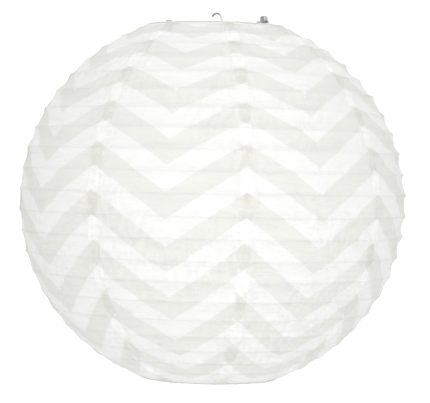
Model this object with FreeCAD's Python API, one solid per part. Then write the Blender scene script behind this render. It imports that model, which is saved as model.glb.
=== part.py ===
"""Accordion paper lantern, 14 inch: eight paper gores on wire hoops, held open by a wire spreader.

Units are millimetres. +Z is up. The origin is the point under the hook's crown that the lantern
hangs from, and the Z axis is the lantern's own axis. An azimuth is turned from the front (-Y)
towards the right (+X).
"""

import os
from math import acos, cos, degrees, pi, radians, sin, tan

import FreeCAD
import Part

# Driving dimensions.
ball_radius = 178.0            # outside of the paper at the equator
ball_half_height = 173.0       # vertical half axis of the paper's elliptical profile
ring_radius = 60.5             # centre line of the top and bottom rings
ring_wire_radius = 1.0
hoop_wire_radius = 0.4
hoop_count = 22
gore_count = 8
centre_seam_azimuth = 9.4      # the seam nearest the front
paper_thickness = 0.2
paper_gap = 0.25               # air between the paper and the wire inside it
seam_half_width = 2.0          # degrees each side of a seam where two gores overlap
layer_gap = 0.05               # air between the two layers of a seam
spreader_turn = -41.6          # the crossbar's direction, turned from +X
spreader_wire_radius = 1.0
coil_radius = 2.3              # centre line of the coil loops at the crossbar's ends
coil_reach = 58.3              # from the axis to a coil's centre
coil_offset = 0.6              # the crossbar's own turn stands this far off its straight run
running_gap = 0.4              # air between wires that turn or pass each other, and over a hem
hook_wire_radius = 0.9
hook_radius = 6.0              # centre line of the hook's crown
hook_rise = 10.1               # from the rim's top to the hanging point
hook_tip_angle = 141.0         # where the crown's arc ends, turned from the stem's side
hook_stem_angle = 20.0         # where the stem leaves the crown, and its lean
bar_dip = 2.6                  # the crossbar's middle runs this far below the ring, under the rim
bar_dip_reach = 44.0           # half length of the low run
bar_raised_reach = 50.0        # where the crossbar has risen to pass over the ring
bar_tip_reach = 62.8           # half length of the whole crossbar
foot_lift = 16.0               # where a leg starts to lean out to its foot, above the bottom ring

# Worked out from the driving dimensions.
hem_inner = ring_wire_radius + paper_gap
hem_outer = hem_inner + paper_thickness
ring_ellipse_width = ball_radius - hem_outer
ring_ellipse_height = ball_half_height - hem_outer
ring_parameter = acos(ring_radius / ring_ellipse_width)
ring_offset = ring_ellipse_height * sin(ring_parameter)
top_ring_z = -hook_rise - hem_outer
equator_z = top_ring_z - ring_offset
bottom_ring_z = equator_z - ring_offset
hoop_inset = paper_thickness + paper_gap + hoop_wire_radius
ring_contact = hem_outer + running_gap + spreader_wire_radius
coil_z = top_ring_z + ring_contact + coil_radius
bar_z = top_ring_z - bar_dip

Z_AXIS = FreeCAD.Vector(0, 0, 1)
ORIGIN = FreeCAD.Vector(0, 0, 0)


def save(name, shape):
    """Writes one sub-part, and says so if it isn't one sound solid."""
    if not shape.isValid() or len(shape.Solids) != 1:
        print("CHECK", name, "valid", shape.isValid(), "solids", len(shape.Solids))
    shape.exportStep("parts/" + name + ".step")


def ring(radius, wire_radius, z):
    """A closed wire hoop lying level."""
    return Part.makeTorus(radius, wire_radius, FreeCAD.Vector(0, 0, z), Z_AXIS)


def rounded_path(points, bend_radius):
    """Straight runs through the points, joined by tangent arcs of one radius."""
    edges = []
    start = points[0]
    for before, corner, after in zip(points, points[1:], points[2:]):
        incoming = (corner - before).normalize()
        outgoing = (after - corner).normalize()
        turn = incoming.getAngle(outgoing)
        reach = bend_radius * tan(turn / 2)
        first = corner - incoming * reach
        last = corner + outgoing * reach
        inward = (outgoing - incoming).normalize()
        middle = corner + inward * (bend_radius / cos(turn / 2) - bend_radius)
        edges.append(Part.LineSegment(start, first).toShape())
        edges.append(Part.Arc(first, middle, last).toShape())
        start = last
    edges.append(Part.LineSegment(start, points[-1]).toShape())
    return edges


def bent_wire(edges, wire_radius):
    """A round wire along the edges, with rounded ends."""
    path = Part.Wire(edges)
    start = edges[0].valueAt(edges[0].FirstParameter)
    end = edges[-1].valueAt(edges[-1].LastParameter)
    along = edges[0].tangentAt(edges[0].FirstParameter)
    section = Part.Wire([Part.makeCircle(wire_radius, start, along)])
    body = path.makePipeShell([section], True, False)
    tips = [Part.makeSphere(wire_radius, point) for point in (start, end)]
    return body.fuse(tips).removeSplitter()


def turned(shape):
    """Turns a spreader piece from its own plane to the crossbar's direction."""
    shape.rotate(ORIGIN, Z_AXIS, spreader_turn)
    return shape


def band_face(outside, inside, end_radius):
    """The profile between two layers of the paper, offset from the outer ellipse, from rim to rim."""
    curves = []
    ends = []
    for offset in (outside, inside):
        width = ball_radius + offset
        height = ball_half_height + offset
        limit = acos(end_radius / width)
        curves.append(Part.Ellipse(ORIGIN, width, height).toShape(-limit, limit))
        ends.append(FreeCAD.Vector(end_radius, height * sin(limit), 0))
    outer_end, inner_end = ends
    low_outer = FreeCAD.Vector(outer_end.x, -outer_end.y, 0)
    low_inner = FreeCAD.Vector(inner_end.x, -inner_end.y, 0)
    top = Part.LineSegment(outer_end, inner_end).toShape()
    bottom = Part.LineSegment(low_inner, low_outer).toShape()
    face = Part.Face(Part.Wire([curves[0], top, curves[1], bottom]))
    face.rotate(ORIGIN, FreeCAD.Vector(1, 0, 0), 90)
    face.translate(FreeCAD.Vector(0, 0, equator_z))
    return face


def sector(face, first_azimuth, last_azimuth):
    """A profile face turned about the Z axis between two azimuths."""
    placed = face.copy()
    placed.rotate(ORIGIN, Z_AXIS, first_azimuth - 90)
    return placed.revolve(ORIGIN, Z_AXIS, last_azimuth - first_azimuth)


def gore(number):
    """One paper panel, numbered rightwards from the centre seam. Its right edge laps over the next."""
    end_radius = ring_radius + hem_outer + paper_gap + layer_gap
    under = band_face(0.0, -paper_thickness, end_radius)
    step = band_face(layer_gap + paper_thickness, -paper_thickness, end_radius)
    over = band_face(layer_gap + paper_thickness, layer_gap, end_radius)
    width = 360.0 / gore_count
    left_seam = centre_seam_azimuth + (number - 1) * width
    right_seam = left_seam + width
    edge_gap = degrees(layer_gap / end_radius)
    left_edge = left_seam - seam_half_width + edge_gap
    step_start = right_seam - 1.5 * seam_half_width
    step_end = right_seam - seam_half_width
    panel = sector(under, left_edge, step_start)
    fold = sector(step, step_start, step_end)
    lap = sector(over, step_end, right_seam + seam_half_width)
    return panel.fuse([fold, lap])


def hem(z, side):
    """The paper folded round a ring: side is 1 where it opens downwards, and -1 upwards."""
    opening_half = radians(40)
    start = -pi / 2 + opening_half
    end = 1.5 * pi - opening_half
    arcs = []
    corners = []
    for radius in (hem_outer, hem_inner):
        points = [
            FreeCAD.Vector(ring_radius + radius * cos(angle), 0, z + side * radius * sin(angle))
            for angle in (start, (start + end) / 2, end)
        ]
        arcs.append(Part.Arc(*points).toShape())
        corners.append((points[0], points[2]))
    (outer_start, outer_end), (inner_start, inner_end) = corners
    first_edge = Part.LineSegment(outer_end, inner_end).toShape()
    last_edge = Part.LineSegment(inner_start, outer_start).toShape()
    face = Part.Face(Part.Wire([arcs[0], first_edge, arcs[1], last_edge]))
    return face.revolve(ORIGIN, Z_AXIS, 360)


def crossbar():
    """The wire across the top mouth. Its raised ends carry a coil loop and lie over the top ring."""
    high = coil_z - coil_radius
    right_half = [(bar_dip_reach, bar_z), (bar_raised_reach, high), (bar_tip_reach, high)]
    left_half = [(-x, z) for x, z in reversed(right_half)]
    points = [FreeCAD.Vector(x, 0, z) for x, z in left_half + right_half]
    bar = bent_wire(rounded_path(points, 3 * spreader_wire_radius), spreader_wire_radius)
    coils = [coil(side * coil_reach, coil_offset) for side in (-1, 1)]
    return turned(bar.fuse(coils))


def coil(x, y):
    """One turn of a corner coil, standing in the spreader's plane."""
    return Part.makeTorus(
        coil_radius, spreader_wire_radius, FreeCAD.Vector(x, y, coil_z), FreeCAD.Vector(0, 1, 0)
    )


def leg(side):
    """A spreader leg, from its turn of the coil down to its foot.

    It hangs from the coil's inner side and passes down inside the top ring. A shoulder stands out
    under the ring, and the foot lies over the bottom ring with its tip turned up.
    """
    y = -(2 * spreader_wire_radius + running_gap)
    inner_side = coil_reach - coil_radius
    foot_z = bottom_ring_z + ring_contact
    profile = [
        (inner_side, coil_z),
        (inner_side, top_ring_z - hem_outer),
        (ring_radius + 2.0, top_ring_z - ring_contact - hem_outer),
        (inner_side - 0.5, top_ring_z - 3 * ring_contact),
        (inner_side - 3.5, bottom_ring_z + foot_lift),
        (ring_radius - 2.5, foot_z),
        (ring_radius + 3.5, foot_z),
        (ring_radius + 5.0, foot_z + 2.6),
    ]
    points = [FreeCAD.Vector(side * x, y, z) for x, z in profile]
    body = bent_wire(rounded_path(points, 1.2 * spreader_wire_radius), spreader_wire_radius)
    return turned(body.fuse(coil(side * coil_reach, y)))


def hook():
    """The J hook: crown over the hanging point, and a stem that leans out to an eye on the crossbar."""
    stem_lean = radians(hook_stem_angle)
    crown_z = hook_wire_radius - hook_radius
    eye_radius = spreader_wire_radius + running_gap + hook_wire_radius
    eye_top = bar_z + eye_radius

    def on_crown(angle):
        return FreeCAD.Vector(hook_radius * cos(angle), 0, crown_z + hook_radius * sin(angle))

    stem_start = on_crown(stem_lean)
    eye_x = stem_start.x + (stem_start.z - eye_top) * tan(stem_lean)
    crown = Part.Arc(on_crown(radians(hook_tip_angle)), on_crown(pi / 2), stem_start).toShape()
    stem = Part.LineSegment(stem_start, FreeCAD.Vector(eye_x, 0, eye_top)).toShape()
    body = bent_wire([crown, stem], hook_wire_radius)
    eye_centre = FreeCAD.Vector(eye_x, 0, bar_z)
    eye = Part.makeTorus(eye_radius, hook_wire_radius, eye_centre, FreeCAD.Vector(1, 0, 0))
    return turned(body.fuse(eye))


def hoop(number):
    """One rib hoop. The hoops are evenly spaced along the paper, half a space from each ring."""
    space = 2 * ring_parameter / hoop_count
    parameter = ring_parameter - space * (number - 0.5)
    radius = (ball_radius - hoop_inset) * cos(parameter)
    z = equator_z + (ball_half_height - hoop_inset) * sin(parameter)
    return ring(radius, hoop_wire_radius, z)


os.makedirs("parts", exist_ok=True)
save("hanger_hook", hook())
save("spreader_crossbar", crossbar())
save("spreader_leg_right", leg(1))
save("spreader_leg_left", leg(-1))
save("top_ring", ring(ring_radius, ring_wire_radius, top_ring_z))
save("bottom_ring", ring(ring_radius, ring_wire_radius, bottom_ring_z))
save("top_hem", hem(top_ring_z, 1))
save("bottom_hem", hem(bottom_ring_z, -1))
for number in range(1, hoop_count + 1):
    save("rib_hoop_%02d" % number, hoop(number))
for number in range(1, gore_count + 1):
    save("gore_%d" % number, gore(number))
print("rings at", top_ring_z, bottom_ring_z, "equator at", equator_z)
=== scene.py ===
"""Accordion paper lantern, 14 inch: the visible model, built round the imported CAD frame.

Units are metres and +Z is up. The origin is the hanging point. An azimuth is turned from the front
(-Y) towards the right (+X). The paper's profile is an ellipse, and its parameter is pi/2 at the top
pole, 0 at the equator and -pi/2 at the bottom pole.
"""

from math import acos, cos, pi, radians, sin

import bpy
import numpy as np
from mathutils import Matrix, Vector


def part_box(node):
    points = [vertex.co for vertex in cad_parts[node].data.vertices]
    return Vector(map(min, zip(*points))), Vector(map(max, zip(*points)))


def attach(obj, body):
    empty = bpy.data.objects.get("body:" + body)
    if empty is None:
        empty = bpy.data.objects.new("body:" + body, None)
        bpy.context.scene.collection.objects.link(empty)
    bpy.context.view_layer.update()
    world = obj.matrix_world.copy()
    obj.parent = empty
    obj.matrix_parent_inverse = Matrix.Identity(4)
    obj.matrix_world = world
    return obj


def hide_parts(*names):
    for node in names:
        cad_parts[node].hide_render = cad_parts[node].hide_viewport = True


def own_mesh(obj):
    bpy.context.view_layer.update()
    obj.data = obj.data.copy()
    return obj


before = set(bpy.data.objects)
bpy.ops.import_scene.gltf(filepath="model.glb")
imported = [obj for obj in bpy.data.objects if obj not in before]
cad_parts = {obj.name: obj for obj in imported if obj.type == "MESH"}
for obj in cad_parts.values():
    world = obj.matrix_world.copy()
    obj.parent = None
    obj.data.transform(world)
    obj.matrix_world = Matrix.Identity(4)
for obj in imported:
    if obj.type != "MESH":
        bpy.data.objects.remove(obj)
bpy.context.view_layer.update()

# Sizes that part.py also has.
BALL_RADIUS = 0.178            # outside of the paper at the equator
BALL_HALF_HEIGHT = 0.173
GORE_COUNT = 8
HOOP_COUNT = 22
GORE_TURN = 2 * pi / GORE_COUNT
CENTRE_SEAM = radians(9.4)     # azimuth of the seam nearest the front
PAPER_THICKNESS = 0.0002
LAYER_GAP = 0.00005
RING_WIRE_RADIUS = 0.001
HEM_INNER = 0.00125            # from a ring's centre line to the paper folded round it
HEM_OUTER = HEM_INNER + PAPER_THICKNESS
GORE_END_RADIUS = 0.06225      # where a gore's end meets the hem

# The print: chevrons whose points are at the seams.
STRIPE_PITCH = 0.0468
STRIPE_SHARE = 0.498           # of the pitch that is printed grey
STRIPE_SLOPE = 0.70
STRIPE_START = 0.0312          # from the top pole to a grey stripe's upper edge, at mid gore
STRIPE_POINT = BALL_RADIUS * GORE_TURN / 2        # where the stripes turn, from mid gore
STRIPE_EDGE = 0.00025          # half the width over which a stripe's edge fades
PRINT_ROUGHNESS = 0.0009       # how far the fibres carry the ink at an edge

# How the paper hangs on its hoops.
LAP_HALF_WIDTH = 0.0051        # each side of a seam
LAP_RAMP = 0.0014
LAP_WAVE = 0.0004              # how unevenly the upper lap's edge is cut
SAG = 0.0024                   # how far the paper falls inward between two hoops
SAG_CHANGE = 0.0007            # by chance, from place to place
SIDE_SHARE = 0.6               # of the same change over a whole side of the lantern
SAG_POWER = 2.3                # a higher power makes the fold between two hoops blunter
HALF_SPACE_POWER = 1.6         # how much less the half spaces beside the rings sag
FREE_POWER = 6                 # a higher power lets the creases come nearer to the wires
VALLEY_SHIFT = 0.11            # how far the fold wanders, as a share of the space
LOOSE_AT_BOTTOM = 0.75         # shares of the sag
LOOSER_AT_TOP = 0.45
LOOSER_AT_RIGHT = 0.22
LOOSE_AT_POLES = 0.2
LOOSENESS_SPAN = 1.6           # of the parameter, from the bottom's share to the top's
PLEAT_HEIGHT = 0.00036
FINE_PLEAT_HEIGHT = 0.00010
STREAK_HEIGHT = 0.00008
CRINKLE_HEIGHT = 0.00034       # beside a seam
CRINKLE_REACH = 0.016
ROWS_PER_SPACE = 16
BODY_COLUMNS = 66
LAP_COLUMNS = 6
SHARP_ANGLE = radians(50)
PROFILE_STEPS = 4001

# The hem: a fold round the ring's wire, then a skirt that lies on the gores. Its angles turn round
# the wire: 0 is outward, and 90 degrees is away from the lantern's middle.
HEM_FOLD_INSIDE = radians(228)
HEM_FOLD_OUTSIDE = radians(70)
HEM_FOLD_MIDDLE = radians(150)
HEM_END_RADIUS = 0.0633        # where the skirt ends on the gores
HEM_LIFT = 2 * PAPER_THICKNESS + 3 * LAYER_GAP
HEM_LIFT_SHARE = 0.4           # of the skirt's width, over which it rises to its lift
HEM_CUT_WAVE = 0.0012          # how unevenly the skirt's edge is cut
HEM_WRINKLE = 0.00009
HEM_NOISE_PARAMETER = 1.1      # where the skirt's edge reads its noise
HEM_TO_WIRE = 0.003            # too far from a wire for a painted wire shadow to show
HEM_COLUMNS = 480
HEM_FOLD_ROWS = 26
HEM_SKIRT_ROWS = 7


def node_middle(name):
    low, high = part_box(name)
    return (low + high) / 2


TOP_RING_Z = node_middle("top_ring").z
BOTTOM_RING_Z = node_middle("bottom_ring").z
EQUATOR_Z = (TOP_RING_Z + BOTTOM_RING_Z) / 2
RING_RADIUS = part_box("top_ring")[1].x - RING_WIRE_RADIUS
RING_PARAMETER = acos(RING_RADIUS / (BALL_RADIUS - HEM_OUTER))
GORE_END_PARAMETER = acos(GORE_END_RADIUS / BALL_RADIUS)
HOOP_SPACE = 2 * RING_PARAMETER / HOOP_COUNT


def smooth_step(x):
    return x * x * (3 - 2 * x)


def noise_field(seed, cells_round, cells_down):
    """Smooth random heights from -1 to 1 over the whole lantern, the same where it closes."""
    values = np.random.default_rng(seed).uniform(-1, 1, (cells_round, cells_down + 2))

    def height(azimuth, parameter):
        x = (azimuth / (2 * pi)) % 1 * cells_round
        y = np.clip(0.5 - parameter / pi, 0, 1) * cells_down
        column = np.floor(x).astype(int)
        row = np.floor(y).astype(int)
        across = smooth_step(x - column)
        down = smooth_step(y - row)
        column = column % cells_round
        after = (column + 1) % cells_round
        upper = values[column, row] * (1 - across) + values[after, row] * across
        lower = values[column, row + 1] * (1 - across) + values[after, row + 1] * across
        return upper * (1 - down) + lower * down

    return height


sag_noise = noise_field(seed=11, cells_round=22, cells_down=60)
side_noise = noise_field(seed=20, cells_round=5, cells_down=7)
valley_noise = noise_field(seed=12, cells_round=14, cells_down=44)
pleat_noise = noise_field(seed=13, cells_round=46, cells_down=190)
fine_pleat_noise = noise_field(seed=14, cells_round=110, cells_down=330)
seam_noise = noise_field(seed=15, cells_round=420, cells_down=84)
streak_noise = noise_field(seed=16, cells_round=300, cells_down=40)
lap_edge_noise = noise_field(seed=17, cells_round=16, cells_down=120)
hem_noise = noise_field(seed=18, cells_round=150, cells_down=40)


def profile_table():
    """Distance along the paper from the top pole, for a fine row of parameters from the pole down."""
    parameter = np.linspace(pi / 2, -pi / 2, PROFILE_STEPS)
    radius = BALL_RADIUS * np.cos(parameter)
    height = BALL_HALF_HEIGHT * np.sin(parameter)
    steps = np.hypot(np.diff(radius), np.diff(height))
    along = np.concatenate([[0.0], np.cumsum(steps)])
    return parameter, along, np.gradient(radius, along)


PROFILE_PARAMETER, PROFILE_ALONG, PROFILE_WIDENING = profile_table()


def along_paper(parameter):
    return np.interp(-parameter, -PROFILE_PARAMETER, PROFILE_ALONG)


def widening(parameter):
    return np.interp(-parameter, -PROFILE_PARAMETER, PROFILE_WIDENING)


def paper_point(azimuth, parameter, offset):
    """A point of the lantern's ellipse, moved outward by offset."""
    radius = BALL_RADIUS * np.cos(parameter)
    height = BALL_HALF_HEIGHT * np.sin(parameter)
    out_round = np.cos(parameter) / BALL_RADIUS
    out_up = np.sin(parameter) / BALL_HALF_HEIGHT
    scale = np.hypot(out_round, out_up)
    radius = radius + offset * out_round / scale
    height = height + offset * out_up / scale
    return np.stack(
        [radius * np.sin(azimuth), -radius * np.cos(azimuth), EQUATOR_Z + height], axis=-1
    )


def between_hoops(parameter):
    """Where each parameter is between the wires above and below it: 0 and 1 are on a wire.

    Also the size of that space beside a full one, because the two at the rings are half spaces.
    """
    steps = (RING_PARAMETER - parameter) / HOOP_SPACE
    whole = np.clip(np.floor(steps + 0.5), 0, HOOP_COUNT)
    share = steps + 0.5 - whole
    size = np.ones_like(steps)
    first = whole == 0
    last = whole == HOOP_COUNT
    share = np.where(first, steps * 2, share)
    share = np.where(last, (steps - HOOP_COUNT + 0.5) * 2, share)
    size = np.where(first | last, 0.5, size)
    return np.clip(share, 0, 1), size


def looseness(azimuth, parameter):
    """Share of the sag: the paper is looser high up and on the right, and tight at the poles."""
    upper = smooth_step(np.clip(0.5 + parameter / LOOSENESS_SPAN, 0, 1))
    on_height = LOOSE_AT_BOTTOM + LOOSER_AT_TOP * upper
    on_side = LOOSER_AT_RIGHT * np.sin(azimuth)
    on_steepness = LOOSE_AT_POLES + (1 - LOOSE_AT_POLES) * np.cos(parameter)
    return (on_height + on_side) * on_steepness


def paper_offset(azimuth, parameter, seam_distance):
    """How far the paper stands out from the ellipse: it sags between the hoops, and it is creased."""
    share, size = between_hoops(parameter)
    valley = 0.5 + VALLEY_SHIFT * valley_noise(azimuth, parameter)
    folded = np.where(share < valley, share / valley, (1 - share) / (1 - valley))
    change = sag_noise(azimuth, parameter) + SIDE_SHARE * side_noise(azimuth, parameter)
    sag = (SAG + SAG_CHANGE * change) * looseness(azimuth, parameter) * size ** HALF_SPACE_POWER
    depth = sag * (1 - (1 - folded) ** SAG_POWER)
    free = 1 - np.abs(2 * share - 1) ** FREE_POWER
    pleats = PLEAT_HEIGHT * pleat_noise(azimuth, parameter)
    pleats += FINE_PLEAT_HEIGHT * fine_pleat_noise(azimuth, parameter)
    streaks = STREAK_HEIGHT * streak_noise(azimuth, parameter)
    near_seam = np.exp(-(seam_distance / CRINKLE_REACH) ** 2)
    crinkles = CRINKLE_HEIGHT * near_seam * seam_noise(azimuth, parameter)
    return -depth + free * size * (pleats + streaks + crinkles)


def seam_gap(azimuth):
    """Angle from each azimuth to the nearest seam."""
    half = GORE_TURN / 2
    return np.abs((azimuth - CENTRE_SEAM + half) % GORE_TURN - half)


def gore_rows():
    """Parameters of a gore's rows, from its top end down, with a row on every hoop."""
    marks = [GORE_END_PARAMETER]
    marks += [RING_PARAMETER - HOOP_SPACE * (k + 0.5) for k in range(HOOP_COUNT)]
    marks.append(-GORE_END_PARAMETER)
    rows = [np.array([marks[0]])]
    for k in range(HOOP_COUNT + 1):
        count = ROWS_PER_SPACE if 0 < k < HOOP_COUNT else ROWS_PER_SPACE // 2
        rows.append(np.linspace(marks[k], marks[k + 1], count + 1)[1:])
    return np.concatenate(rows)


def new_object(name, vertices, faces):
    mesh = bpy.data.meshes.new(name)
    mesh.from_pydata([tuple(v) for v in vertices], [], faces)
    mesh.validate()
    mesh.update()
    obj = bpy.data.objects.new(name, mesh)
    bpy.context.scene.collection.objects.link(obj)
    return obj


def shell_faces(rows, columns, closed_round):
    """Quads of a thin shell: its outer grid, its inner grid and the edges that join them."""
    inner = rows * columns
    last = columns if closed_round else columns - 1
    faces = []
    for j in range(rows - 1):
        for i in range(last):
            a = j * columns + i
            b = j * columns + (i + 1) % columns
            c, d = b + columns, a + columns
            faces.append((a, d, c, b))
            faces.append((inner + a, inner + b, inner + c, inner + d))
    for i in range(last):
        a, b = i, (i + 1) % columns
        faces.append((a, b, inner + b, inner + a))
        a, b = a + (rows - 1) * columns, b + (rows - 1) * columns
        faces.append((b, a, inner + a, inner + b))
    if not closed_round:
        for j in range(rows - 1):
            a, d = j * columns, (j + 1) * columns
            faces.append((d, a, inner + a, inner + d))
            b, c = a + columns - 1, d + columns - 1
            faces.append((b, c, inner + c, inner + b))
    return faces


def store(mesh, name, grids, size):
    """Three grids of numbers as one vector attribute, the same on a shell's outside and inside."""
    one_side = np.stack([np.broadcast_to(grid, size) for grid in grids], axis=-1).reshape(-1, 3)
    both_sides = np.concatenate([one_side, one_side]).astype(np.float32)
    attribute = mesh.attributes.new(name, "FLOAT_VECTOR", "POINT")
    attribute.data.foreach_set("vector", both_sides.ravel())


def shell(name, outer, inner, place, shape, closed_round=False):
    """A thin closed sheet from two grids of points.

    place: across the flat cut from mid gore, along it from the pole, and where the seam is.
    shape: how flat lines bend, the distance to the nearest wire, and the gore's number.
    """
    rows, columns = outer.shape[:2]
    vertices = np.concatenate([outer.reshape(-1, 3), inner.reshape(-1, 3)])
    obj = new_object(name, vertices, shell_faces(rows, columns, closed_round))
    mesh = obj.data
    store(mesh, "paper_place", place, (rows, columns))
    store(mesh, "paper_shape", shape, (rows, columns))
    mesh.shade_smooth()
    mesh.set_sharp_from_angle(angle=SHARP_ANGLE)
    return obj


def wire_distance(parameter):
    """Distance along the paper to the nearest hoop or ring."""
    steps = np.clip((RING_PARAMETER - parameter) / HOOP_SPACE + 0.5, 0.5, HOOP_COUNT + 0.5)
    hoop = np.clip(np.round(steps), 1, HOOP_COUNT)
    nearest = RING_PARAMETER - HOOP_SPACE * (hoop - 0.5)
    along = along_paper(parameter)
    to_hoop = np.abs(along - along_paper(nearest))
    to_top_ring = np.abs(along - along_paper(RING_PARAMETER))
    to_bottom_ring = np.abs(along - along_paper(-RING_PARAMETER))
    to_rings = np.minimum(to_top_ring, to_bottom_ring)
    return np.minimum(to_hoop, to_rings)


def gore_columns(seam, waves):
    """Distances across each row from mid gore, from the left lap's edge to the right lap's.

    seam: from mid gore to the seam. waves: what the right lap's edge is cut wider by.
    """
    stops = [
        -(seam + LAP_HALF_WIDTH),
        -(seam - LAP_HALF_WIDTH),
        seam - LAP_HALF_WIDTH - LAP_RAMP,
        seam - LAP_HALF_WIDTH,
        seam + LAP_HALF_WIDTH + waves,
    ]
    counts = [LAP_COLUMNS, BODY_COLUMNS, 1, LAP_COLUMNS]
    parts = [stops[0]]
    for start, end, count in zip(stops, stops[1:], counts):
        steps = np.linspace(0, 1, count + 1)[1:]
        parts.append(start + (end - start) * steps)
    return np.concatenate(parts, axis=1)


def gore(number):
    """One paper gore. Its right edge lies over the next gore's left edge."""
    parameter = gore_rows()[:, None]
    radius = BALL_RADIUS * np.cos(parameter)
    seam = radius * GORE_TURN / 2
    left_seam = CENTRE_SEAM + (number - 1) * GORE_TURN
    waves = LAP_WAVE * lap_edge_noise(left_seam + GORE_TURN, parameter)
    across = gore_columns(seam, waves)
    azimuth = left_seam + GORE_TURN / 2 + across / radius
    parameter = np.broadcast_to(parameter, across.shape)
    offset = paper_offset(azimuth, parameter, np.abs(np.abs(across) - seam))
    raised = np.clip((across - (seam - LAP_HALF_WIDTH - LAP_RAMP)) / LAP_RAMP, 0, 1)
    offset = offset + (PAPER_THICKNESS + LAYER_GAP) * raised
    outer = paper_point(azimuth, parameter, offset)
    inner = paper_point(azimuth, parameter, offset - PAPER_THICKNESS)
    place = (across, along_paper(parameter), seam)
    shape = (widening(parameter) / (2 * radius), wire_distance(parameter), float(number))
    return shell("paper_gore_%d" % number, outer, inner, place, shape)


def gore_cut():
    """Width and length of a gore's flat cut, and its area."""
    parameter = gore_rows()
    along = along_paper(parameter)
    widths = 2 * (BALL_RADIUS * np.cos(parameter) * GORE_TURN / 2 + LAP_HALF_WIDTH)
    width = 2 * (BALL_RADIUS * GORE_TURN / 2 + LAP_HALF_WIDTH)
    area = float(np.sum((widths[1:] + widths[:-1]) / 2 * np.diff(along)))
    return (width, float(along[-1] - along[0])), area


def hem(name, ring_z, side):
    """The gores' ends folded round a ring, then a short skirt that lies on the gores.

    side is 1 at the top ring and -1 at the bottom ring. Rows go from inside the ring outward.
    """
    azimuth = np.linspace(0, 2 * pi, HEM_COLUMNS, endpoint=False)[None, :]
    fold = np.linspace(HEM_FOLD_INSIDE, HEM_FOLD_OUTSIDE, HEM_FOLD_ROWS)[:, None]
    start = acos((RING_RADIUS + HEM_OUTER * cos(HEM_FOLD_OUTSIDE)) / BALL_RADIUS)
    end = acos(HEM_END_RADIUS / BALL_RADIUS)
    down = np.linspace(0, 1, HEM_SKIRT_ROWS)[:, None]
    cut = HEM_CUT_WAVE * hem_noise(azimuth, side * HEM_NOISE_PARAMETER)
    skirt = np.linspace(start, end, HEM_SKIRT_ROWS + 1)[1:, None] - cut / BALL_HALF_HEIGHT * down
    lift = HEM_LIFT * np.minimum(1, down / HEM_LIFT_SHARE)
    wrinkle = HEM_WRINKLE * hem_noise(azimuth, side * (fold - HEM_FOLD_MIDDLE) / 2)

    def surface(depth):
        """The hem's points at a depth below its outside."""
        reach = HEM_OUTER + wrinkle - depth
        radius = RING_RADIUS + reach * np.cos(fold)
        height = ring_z + side * reach * np.sin(fold)
        coordinates = [radius * np.sin(azimuth), -radius * np.cos(azimuth), height]
        folded = np.stack(np.broadcast_arrays(*coordinates), axis=-1)
        seam_distance = seam_gap(azimuth) * BALL_RADIUS * np.cos(skirt)
        offset = paper_offset(azimuth, side * skirt, seam_distance) + lift - depth
        return np.concatenate([folded, paper_point(azimuth, side * skirt, offset)])

    along_fold = along_paper(start) - HEM_OUTER * (fold - HEM_FOLD_OUTSIDE)
    along = np.concatenate([along_fold, along_paper(skirt[:, :1])])
    if side < 0:
        along = PROFILE_ALONG[-1] - along
    fold_radius = RING_RADIUS + HEM_OUTER * np.cos(fold)
    radius = np.concatenate([fold_radius, BALL_RADIUS * np.cos(skirt[:, :1])])
    from_mid_gore = (azimuth - CENTRE_SEAM) % GORE_TURN - GORE_TURN / 2
    place = [from_mid_gore * radius, along, radius * GORE_TURN / 2]
    shape = [side * sin(start) / (2 * radius), HEM_TO_WIRE, float(GORE_COUNT + 1)]
    outer, inner = surface(0.0), surface(PAPER_THICKNESS)
    if side < 0:
        outer, inner = outer[::-1], inner[::-1]
        place = [np.broadcast_to(grid, outer.shape[:2])[::-1] for grid in place]
        shape[0] = shape[0][::-1]
    return shell(name, outer, inner, place, shape, closed_round=True)


# Materials.

PAPER_WHITE = (0.864, 0.864, 0.861, 1)
DOUBLED_WHITE = (0.908, 0.908, 0.902, 1)      # two layers of paper
INK = (0.933, 0.932, 0.905, 1)                # multiplies the paper's white
UNDER_INK = (0.908, 0.905, 0.893, 1)          # the lower sheet's print, through the upper one
LIGHT_THROUGH = 0.38           # share of the light that the paper lets through
SHEET_SPACING = 0.31           # between two gores' sheets, where their noise is read
WIRE_LINE_SHADE = 0.045        # how much darker a wire's painted shadow makes the paper
CREASE_SHADE = 0.052
TARNISH = 0.62                 # a dull patch's colour beside the wire's own
RIB_STEEL = (0.55, 0.55, 0.54, 1)
SPREADER_STEEL = (0.50, 0.50, 0.49, 1)
FLOOR_DARK = (0.90, 0.90, 0.895, 1)
FLOOR_LIGHT = (0.93, 0.93, 0.925, 1)


def new_material(name):
    material = bpy.data.materials.new(name)
    material.use_nodes = True
    tree = material.node_tree
    tree.nodes.clear()
    return material, tree


def plug(tree, socket, value):
    if isinstance(value, bpy.types.NodeSocket):
        tree.links.new(value, socket)
    else:
        socket.default_value = value


def compute(tree, operation, *values):
    """The output of a Math node fed by sockets or numbers."""
    node = tree.nodes.new("ShaderNodeMath")
    node.operation = operation
    for socket, value in zip(node.inputs, values):
        plug(tree, socket, value)
    return node.outputs[0]


def plus(tree, first, second):
    return compute(tree, "ADD", first, second)


def minus(tree, first, second):
    return compute(tree, "SUBTRACT", first, second)


def times(tree, first, second):
    return compute(tree, "MULTIPLY", first, second)


def ramp(tree, value, low, high, to_low=0.0, to_high=1.0):
    """Value mapped smoothly from low..high to to_low..to_high."""
    node = tree.nodes.new("ShaderNodeMapRange")
    node.interpolation_type = "SMOOTHSTEP"
    for name, number in (("Value", value), ("From Min", low), ("From Max", high),
                         ("To Min", to_low), ("To Max", to_high)):
        plug(tree, node.inputs[name], number)
    return node.outputs["Result"]


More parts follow.
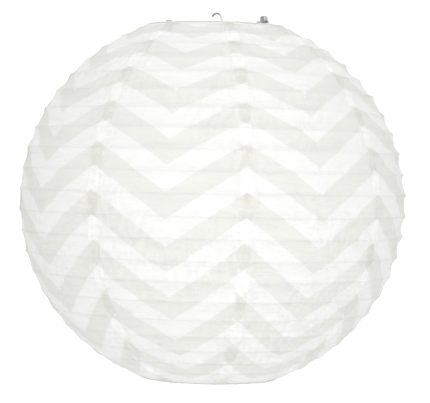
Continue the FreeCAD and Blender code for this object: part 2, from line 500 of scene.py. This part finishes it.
def mix_colour(tree, share, first, second, blend="MIX"):
    """A Mix node set to colours. Its colour sockets are inputs 6 and 7 and output 2."""
    node = tree.nodes.new("ShaderNodeMix")
    node.data_type = "RGBA"
    node.blend_type = blend
    plug(tree, node.inputs["Factor"], share)
    plug(tree, node.inputs[6], first)
    plug(tree, node.inputs[7], second)
    return node.outputs[2]


def tinted(tree, colour, share, ink):
    """The colour, multiplied by the ink where share is 1."""
    tint = mix_colour(tree, share, (1, 1, 1, 1), ink)
    return mix_colour(tree, 1.0, colour, tint, "MULTIPLY")


def noise(tree, vector, scale, detail=2.0, roughness=0.5, stretch=(1, 1, 1)):
    """A noise texture's value, about 0.5, on a vector in metres."""
    mapping = tree.nodes.new("ShaderNodeMapping")
    plug(tree, mapping.inputs["Vector"], vector)
    mapping.inputs["Scale"].default_value = stretch
    node = tree.nodes.new("ShaderNodeTexNoise")
    plug(tree, node.inputs["Vector"], mapping.outputs[0])
    node.inputs["Scale"].default_value = scale
    node.inputs["Detail"].default_value = detail
    node.inputs["Roughness"].default_value = roughness
    return node.outputs["Fac"]


def bump(tree, height, strength, distance, normal=None):
    node = tree.nodes.new("ShaderNodeBump")
    node.inputs["Strength"].default_value = strength
    node.inputs["Distance"].default_value = distance
    plug(tree, node.inputs["Height"], height)
    if normal is not None:
        plug(tree, node.inputs["Normal"], normal)
    return node.outputs["Normal"]


def show(tree, shader):
    """The shader on the surface of what has this material."""
    output = tree.nodes.new("ShaderNodeOutputMaterial")
    tree.links.new(shader.outputs[0], output.inputs["Surface"])


def stripe_mask(tree, across, along, bend, edge_noise):
    """1 where the sheet is printed grey: zigzags that turn at mid gore and at STRIPE_POINT.

    Lines that are straight on the flat cut bend on the lantern as on an unrolled cone.
    """
    squared = times(tree, across, across)
    flat_along = minus(tree, along, times(tree, squared, bend))
    turned = compute(tree, "PINGPONG", compute(tree, "ABSOLUTE", across), STRIPE_POINT)
    rise = times(tree, turned, STRIPE_SLOPE)
    place = plus(tree, plus(tree, flat_along, rise), edge_noise)
    middle = STRIPE_START + STRIPE_PITCH * STRIPE_SHARE / 2
    turns = compute(tree, "DIVIDE", minus(tree, place, middle), STRIPE_PITCH)
    away = compute(tree, "PINGPONG", turns, 0.5)
    half = STRIPE_SHARE / 2
    soft = STRIPE_EDGE / STRIPE_PITCH
    return ramp(tree, away, half - soft, half + soft, to_low=1.0, to_high=0.0)


def ridge_lines(tree, vector, scale, stretch, width):
    """Thin broken lines: 1 where a smooth noise crosses its middle value."""
    value = noise(tree, vector, scale, detail=2.0, roughness=0.5, stretch=stretch)
    away = compute(tree, "ABSOLUTE", minus(tree, value, 0.5))
    return ramp(tree, away, 0.0, width, to_low=1.0, to_high=0.0)


def vector_attribute(tree, name):
    node = tree.nodes.new("ShaderNodeAttribute")
    node.attribute_name = name
    split = tree.nodes.new("ShaderNodeSeparateXYZ")
    tree.links.new(node.outputs["Vector"], split.inputs[0])
    return split.outputs


def sheet_position(tree, across, along, number):
    """The place on flat sheets that lie beside each other, so that no two gores have one pattern."""
    join = tree.nodes.new("ShaderNodeCombineXYZ")
    plug(tree, join.inputs[0], plus(tree, across, times(tree, number, SHEET_SPACING)))
    plug(tree, join.inputs[1], along)
    return join.outputs[0]


def printed_paper(tree, across, along, seam, bend, fibre, cloud):
    """White paper and its grey print. At a seam the lower sheet's print shows through its glue."""
    from_middle = compute(tree, "ABSOLUTE", across)
    edge_noise = times(tree, minus(tree, fibre, 0.5), PRINT_ROUGHNESS)
    lap_edge = plus(tree, LAP_HALF_WIDTH, edge_noise)
    past_lap = minus(tree, minus(tree, seam, from_middle), lap_edge)
    doubled = ramp(tree, past_lap, -0.0003, 0.0004, to_low=1.0, to_high=0.0)
    mirrored = minus(tree, times(tree, seam, 2.0), from_middle)
    top_print = stripe_mask(tree, across, along, bend, edge_noise)
    under_print = stripe_mask(tree, mirrored, along, bend, edge_noise)
    glued = ramp(tree, cloud, 0.35, 0.60, to_low=0.45, to_high=1.0)
    under_print = times(tree, times(tree, under_print, doubled), glued)
    colour = mix_colour(tree, doubled, PAPER_WHITE, DOUBLED_WHITE)
    colour = tinted(tree, colour, top_print, INK)
    return tinted(tree, colour, under_print, UNDER_INK)


def crease_lines(tree, sheet, cloud, low):
    """Thin creases along the wires: long ones where cloud is high, short ones where it is low."""
    long_ones = ridge_lines(tree, sheet, scale=135.0, stretch=(0.12, 1.0, 1.0), width=0.030)
    short_ones = ridge_lines(tree, sheet, scale=210.0, stretch=(0.20, 1.0, 1.0), width=0.028)
    long_ones = times(tree, long_ones, ramp(tree, cloud, 0.40, 0.60))
    short_ones = times(tree, short_ones, ramp(tree, cloud, 0.62, 0.42))
    return times(tree, compute(tree, "MAXIMUM", long_ones, short_ones), low)


def wire_shadow_lines(tree, wire, cloud, low):
    """Painted shadow lines where a hoop's wire shades the paper from behind, fainter here and there.
    """
    line = ramp(tree, wire, 0.0003, 0.0013, to_low=1.0, to_high=0.0)
    line = times(tree, line, ramp(tree, cloud, 0.30, 0.62, to_low=0.15, to_high=1.0))
    return times(tree, line, low)


def paper_tone_and_shade(tree, cloud, fibre, strand, crumple, rough_zone):
    """Brightness beside the plain colour: tone from how unevenly the paper is made, and painted light
    and shade on its crumples.
    """
    thickness = ramp(tree, cloud, 0.25, 0.75, to_low=0.988, to_high=1.008)
    fibres = ramp(tree, fibre, 0.3, 0.7, to_low=-0.020, to_high=0.014)
    strands = ramp(tree, strand, 0.35, 0.75, to_low=0.004, to_high=-0.006)
    # Painted light and shade of the crumples.
    crumple_shade = ramp(tree, crumple, 0.3, 0.7, to_low=-0.042, to_high=0.032)
    tone_and_shade = plus(tree, plus(tree, thickness, fibres), strands)
    return plus(tree, tone_and_shade, times(tree, crumple_shade, rough_zone))


def paper_relief(tree, fibre, strand, crumpled, creases):
    """The paper's normal, with fibres, crumpling and creases one on the other."""
    normal = bump(tree, fibre, strength=0.35, distance=0.00025)
    normal = bump(tree, strand, strength=0.3, distance=0.0002, normal=normal)
    normal = bump(tree, crumpled, strength=0.5, distance=0.0012, normal=normal)
    return bump(tree, creases, strength=0.4, distance=0.0003, normal=normal)


def thin_paper(tree, colour, roughness, normal):
    """A shader that reflects light and lets a share of it through."""
    front = tree.nodes.new("ShaderNodeBsdfPrincipled")
    tree.links.new(colour, front.inputs["Base Color"])
    tree.links.new(roughness, front.inputs["Roughness"])
    tree.links.new(normal, front.inputs["Normal"])
    front.inputs["Specular IOR Level"].default_value = 0.3
    through = tree.nodes.new("ShaderNodeBsdfTranslucent")
    tree.links.new(colour, through.inputs["Color"])
    tree.links.new(normal, through.inputs["Normal"])
    both = tree.nodes.new("ShaderNodeMixShader")
    both.inputs[0].default_value = LIGHT_THROUGH
    tree.links.new(front.outputs[0], both.inputs[1])
    tree.links.new(through.outputs[0], both.inputs[2])
    return both


def paper_material():
    """Thin rice paper with a grey print. Two layers at a seam are whiter, and their print darker."""
    material, tree = new_material("printed_rice_paper")
    across, along, seam = vector_attribute(tree, "paper_place")
    bend, wire, number = vector_attribute(tree, "paper_shape")
    sheet = sheet_position(tree, across, along, number)

    cloud = noise(tree, sheet, 38.0, detail=4.0, roughness=0.6)
    fibre = noise(tree, sheet, 620.0, detail=5.0, roughness=0.72)
    strand = noise(tree, sheet, 900.0, detail=3.0, roughness=0.6, stretch=(1.0, 0.22, 1.0))
    zone = noise(tree, sheet, 11.0, detail=2.0, roughness=0.5)
    crumple = noise(tree, sheet, 210.0, detail=4.0, roughness=0.65, stretch=(1.0, 0.42, 1.0))
    # The creases and the painted wire shadows are fainter high on the lantern and full lower down.
    low = ramp(tree, along, 0.10, 0.42, to_low=0.35, to_high=1.0)
    creases = crease_lines(tree, sheet, cloud, low)
    wire_shadows = wire_shadow_lines(tree, wire, cloud, low)
    to_seam = minus(tree, seam, compute(tree, "ABSOLUTE", across))
    near_seam = ramp(tree, to_seam, 0.004, 0.020, to_low=1.0, to_high=0.0)
    rough_zone = compute(tree, "MAXIMUM", ramp(tree, zone, 0.45, 0.62), near_seam)

    tone_and_shade = paper_tone_and_shade(tree, cloud, fibre, strand, crumple, rough_zone)
    # Painted shadows of the wires, and painted shade in the creases, darken the paper.
    tone_and_shade = minus(tree, tone_and_shade, times(tree, wire_shadows, WIRE_LINE_SHADE))
    tone_and_shade = minus(tree, tone_and_shade, times(tree, creases, CREASE_SHADE))
    grey = tree.nodes.new("ShaderNodeCombineColor")
    for socket in grey.inputs:
        tree.links.new(tone_and_shade, socket)
    colour = printed_paper(tree, across, along, seam, bend, fibre, cloud)
    colour = mix_colour(tree, 1.0, colour, grey.outputs[0], "MULTIPLY")

    normal = paper_relief(tree, fibre, strand, times(tree, crumple, rough_zone), creases)
    roughness = ramp(tree, fibre, 0.3, 0.7, to_low=0.62, to_high=0.82)
    show(tree, thin_paper(tree, colour, roughness, normal))
    return material


def wire_material(name, colour, roughness, grain):
    """Drawn steel wire: fine draw marks, slight colour changes and dull patches."""
    material, tree = new_material(name)
    body = tree.nodes.new("ShaderNodeTexCoord").outputs["Object"]
    patches = noise(tree, body, 140.0, detail=3.0, roughness=0.6)
    marks = noise(tree, body, 2600.0, detail=3.0, roughness=0.6)
    dull = tuple(channel * TARNISH for channel in colour[:3]) + (1,)
    tone = mix_colour(tree, ramp(tree, patches, 0.35, 0.72), colour, dull)
    patchy = ramp(tree, patches, 0.3, 0.7, to_low=roughness, to_high=roughness + 0.16)
    rough = plus(tree, patchy, ramp(tree, marks, 0.3, 0.7, to_low=-0.05, to_high=0.05))
    shader = tree.nodes.new("ShaderNodeBsdfPrincipled")
    shader.inputs["Metallic"].default_value = 1.0
    tree.links.new(tone, shader.inputs["Base Color"])
    tree.links.new(rough, shader.inputs["Roughness"])
    normal = bump(tree, marks, strength=grain, distance=0.00006)
    tree.links.new(normal, shader.inputs["Normal"])
    show(tree, shader)
    return material


def floor_material():
    material, tree = new_material("pale_floor")
    body = tree.nodes.new("ShaderNodeTexCoord").outputs["Object"]
    specks = noise(tree, body, 30.0, detail=4.0)
    shader = tree.nodes.new("ShaderNodeBsdfPrincipled")
    tree.links.new(mix_colour(tree, specks, FLOOR_DARK, FLOOR_LIGHT), shader.inputs["Base Color"])
    roughness = ramp(tree, specks, 0.3, 0.7, to_low=0.75, to_high=0.9)
    tree.links.new(roughness, shader.inputs["Roughness"])
    show(tree, shader)
    return material


def paint(obj, material):
    obj.data.materials.clear()
    obj.data.materials.append(material)


# The paper.

paper = paper_material()
flat, area = gore_cut()
for number in range(1, GORE_COUNT + 1):
    piece = gore(number)
    paint(piece, paper)
    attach(piece, "spreader")
    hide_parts("gore_%d" % number)
    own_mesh(piece)

for name, node, ring_z, side, carrier in (
    ("paper_hem_top", "top_hem", TOP_RING_Z, 1, "spreader"),
    ("paper_hem_bottom", "bottom_hem", BOTTOM_RING_Z, -1, "bottom"),
):
    piece = hem(name, ring_z, side)
    paint(piece, paper)
    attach(piece, carrier)
    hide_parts(node)

# The wires.

rib_wire = wire_material("rib_wire", RIB_STEEL, roughness=0.42, grain=0.3)
spreader_wire = wire_material("spreader_wire", SPREADER_STEEL, roughness=0.30, grain=0.25)
for name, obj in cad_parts.items():
    if name.startswith("rib_hoop") or name.endswith("_ring"):
        paint(obj, rib_wire)
    elif name.startswith("spreader") or name == "hanger_hook":
        paint(obj, spreader_wire)

# Floor, light and camera.

FLOOR_Z = -3.7                 # far below the lantern, which hangs
FLOOR_REACH = 5.0
FLOOR_SIDES = 96
FLOOR_RINGS = 6
WORLD_STRENGTH = 1.172


def floor_disc():
    """A flat round floor, as rings of quads round a centre."""
    vertices = [(0, 0, 0)]
    for j in range(1, FLOOR_RINGS + 1):
        radius = FLOOR_REACH * j / FLOOR_RINGS
        for i in range(FLOOR_SIDES):
            turn = 2 * pi * i / FLOOR_SIDES
            vertices.append((radius * cos(turn), radius * sin(turn), 0))
    faces = []
    for i in range(FLOOR_SIDES):
        after = (i + 1) % FLOOR_SIDES
        faces.append((0, 1 + i, 1 + after))
        for j in range(FLOOR_RINGS - 1):
            a = 1 + j * FLOOR_SIDES + i
            b = 1 + j * FLOOR_SIDES + after
            faces.append((a, a + FLOOR_SIDES, b + FLOOR_SIDES, b))
    return new_object("floor", vertices, faces)


floor = floor_disc()
floor.location = (0, 0, FLOOR_Z)
paint(floor, floor_material())

world = bpy.data.worlds.new("studio")
world.use_nodes = True
background = world.node_tree.nodes["Background"]
background.inputs["Color"].default_value = (1.0, 1.0, 1.0, 1.0)
background.inputs["Strength"].default_value = WORLD_STRENGTH
bpy.context.scene.world = world
bpy.context.scene.view_settings.view_transform = "Standard"


def softbox(name, place, size, power):
    """A square area light aimed at the lantern's middle."""
    light = bpy.data.lights.new(name, "AREA")
    light.shape = "SQUARE"
    light.size = size
    light.energy = power
    obj = bpy.data.objects.new(name, light)
    obj.location = place
    aim = Vector((0, 0, EQUATOR_Z)) - Vector(place)
    obj.rotation_mode = "QUATERNION"
    obj.rotation_quaternion = aim.to_track_quat("-Z", "Y")
    obj.visible_camera = False
    bpy.context.scene.collection.objects.link(obj)


softbox("front_softbox", place=(0.20, -2.3, -0.1), size=2.0, power=11.0)
softbox("upper_softbox", place=(0.12, -1.6, 1.4), size=1.2, power=9.5)
softbox("lower_softbox", place=(0.12, -1.6, -1.8), size=1.2, power=9.5)
softbox("back_softbox", place=(-0.6, 2.2, 0.1), size=1.4, power=5.0)

CAMERA_DISTANCE = 1.905
CAMERA_HEIGHT_ANGLE = radians(1.08)
CAMERA_ROLL = 0.0205           # radians, about the line of sight
FOCAL_LENGTH = 172.8           # in mm, as is the sensor's width
SENSOR_WIDTH = 36.0
NEAR_CLIP = 0.05
FAR_CLIP = 50.0
AIM = Vector((0.0021, 0.0, EQUATOR_Z + 0.0002))

camera_data = bpy.data.cameras.new("camera")
camera_data.sensor_width = SENSOR_WIDTH
camera_data.lens = FOCAL_LENGTH
camera_data.clip_start = NEAR_CLIP
camera_data.clip_end = FAR_CLIP
camera = bpy.data.objects.new("camera", camera_data)
bpy.context.scene.collection.objects.link(camera)
back = Vector((0, -cos(CAMERA_HEIGHT_ANGLE), sin(CAMERA_HEIGHT_ANGLE)))
camera.location = AIM + back * CAMERA_DISTANCE
facing = (-back).to_track_quat("-Z", "Y").to_matrix().to_4x4()
turn = facing @ Matrix.Rotation(CAMERA_ROLL, 4, "Z")
camera.rotation_mode = "QUATERNION"
camera.rotation_quaternion = turn.to_quaternion()
bpy.context.scene.camera = camera
